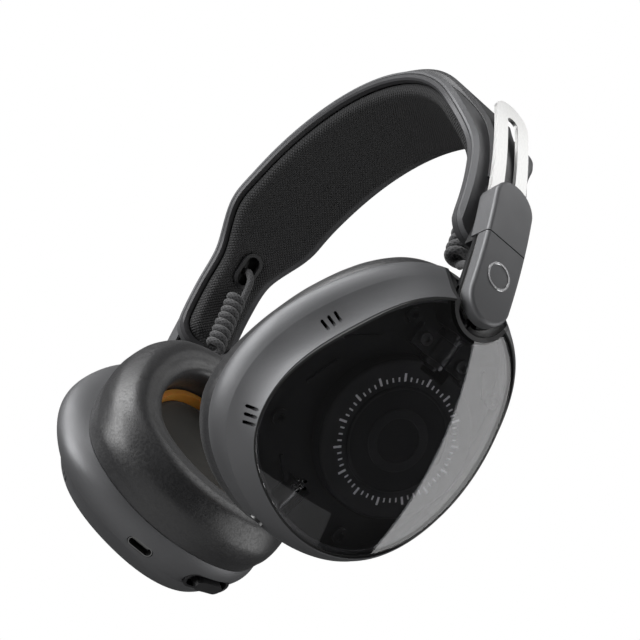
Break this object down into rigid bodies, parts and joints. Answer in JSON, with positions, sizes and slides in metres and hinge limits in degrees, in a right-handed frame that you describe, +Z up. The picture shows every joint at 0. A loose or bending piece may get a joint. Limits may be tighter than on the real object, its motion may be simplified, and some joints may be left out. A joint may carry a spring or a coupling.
{
  "type": "over-ear headphones",
  "caption": "Folding-flat wireless over-ear headphones: arched padded band, slotted steel sliders, tilting and swivelling cups with domed smoked windows and thick soft ear cushions.",
  "frame": {"origin": "underside of the head pad at the crown, on the centre plane", "axes": "+Z up, +X towards the wearer's left ear, -Y to the front"},
  "size_m": [0.172, 0.0853, 0.184],
  "materials": {
    "shell": "dark grey satin metallic paint",
    "rim": "dark grey satin",
    "spine": "charcoal satin",
    "steel": "fine bead-blasted",
    "mesh": "coarse woven mesh",
    "trim": "black satin",
    "screw": "black oxide",
    "braid": "braided textile sleeve",
    "dark_metal": "dark plated",
    "smoked_lens": "glossy smoked",
    "rubber": "satin",
    "inner_plastic": "moulded satin",
    "disc": "matt",
    "magnet": "plated",
    "board": "solder mask",
    "leatherette": "soft fine-grained",
    "amber": "satin",
    "cloth": "felted",
    "socket_metal": "dull nickel",
    "foil": "pouch foil"
  },
  "bodies": {
    "headband": {"band_shell": "shell", "rim_frame": "rim", "spring_strip": "steel", "spine_cover": "spine", "head_pad": "mesh", "cable_eyelets": "trim", "slider_caps": "shell", "slider_guides": "trim", "cap_screws": "screw", "curly_lead_left": "braid", "curly_lead_right": "braid"},
    "arm_left": {"slider_plate_left": "steel", "arm_outer_cover_left": "shell", "arm_inner_cover_left": "trim", "tilt_pin_left": "screw", "arm_screws_left": "screw"},
    "stem_left": {"swivel_stem_left": "dark_metal"},
    "cup_left": {"cup_housing_left": "shell", "front_ring_left": "shell", "lens_left": "smoked_lens", "lens_gasket_left": "rubber", "stem_socket_left": "trim", "stem_bracket_left": "inner_plastic", "bracket_screws_left": "screw", "chassis_left": "inner_plastic", "baffle_left": "trim", "driver_housing_left": "inner_plastic", "centre_disc_left": "disc", "driver_unit_left": "magnet", "circuit_board_left": "board", "cushion_left": "leatherette", "ear_ring_left": "amber", "driver_cloth_left": "cloth", "audio_jack_left": "socket_metal"},
    "arm_right": {"slider_plate_right": "steel", "arm_outer_cover_right": "shell", "arm_inner_cover_right": "trim", "tilt_pin_right": "screw", "arm_screws_right": "screw"},
    "stem_right": {"swivel_stem_right": "dark_metal"},
    "cup_right": {"cup_housing_right": "shell", "front_ring_right": "shell", "lens_right": "smoked_lens", "lens_gasket_right": "rubber", "stem_socket_right": "trim", "stem_bracket_right": "inner_plastic", "bracket_screws_right": "screw", "chassis_right": "inner_plastic", "baffle_right": "trim", "driver_housing_right": "inner_plastic", "centre_disc_right": "disc", "driver_unit_right": "magnet", "circuit_board_right": "board", "cushion_right": "leatherette", "ear_ring_right": "amber", "driver_cloth_right": "cloth", "usb_c_socket_right": "socket_metal", "rocker_bezel_right": "trim", "battery_right": "foil"},
    "rocker": {"volume_rocker_right": "trim"}
  },
  "joints": [
    {"name": "extension_left", "type": "hinge", "parent": "headband", "child": "arm_left", "pos_m": [-0.1231, 0, -0.0979], "axis": [0, 1, 0], "range_deg": [0, 6.7], "deforming": ["curly_lead_left"]},
    {"name": "tilt_left", "type": "hinge", "parent": "arm_left", "child": "stem_left", "pos_m": [0.07915, 0, -0.0979], "axis": [0, -1, 0], "range_deg": [0, 25]},
    {"name": "swivel_left", "type": "hinge", "parent": "stem_left", "child": "cup_left", "pos_m": [0.07915, 0, -0.0979], "axis": [0.5299, 0, 0.848], "range_deg": [-12, 90]},
    {"name": "extension_right", "type": "hinge", "parent": "headband", "child": "arm_right", "pos_m": [0.1231, 0, -0.0979], "axis": [0, -1, 0], "range_deg": [0, 6.7], "deforming": ["curly_lead_right"]},
    {"name": "tilt_right", "type": "hinge", "parent": "arm_right", "child": "stem_right", "pos_m": [-0.07915, 0, -0.0979], "axis": [0, 1, 0], "range_deg": [0, 25]},
    {"name": "swivel_right", "type": "hinge", "parent": "stem_right", "child": "cup_right", "pos_m": [-0.07915, 0, -0.0979], "axis": [0.5299, 0, -0.848], "range_deg": [-12, 90]},
    {"name": "rocker_tilt", "type": "hinge", "parent": "cup_right", "child": "rocker", "pos_m": [-0.03239, 0.01401, -0.16629], "axis": [-0.848, 0, -0.5299], "range_deg": [-4, 4], "stiffness_Nm_per_rad": 0.05}
  ]
}
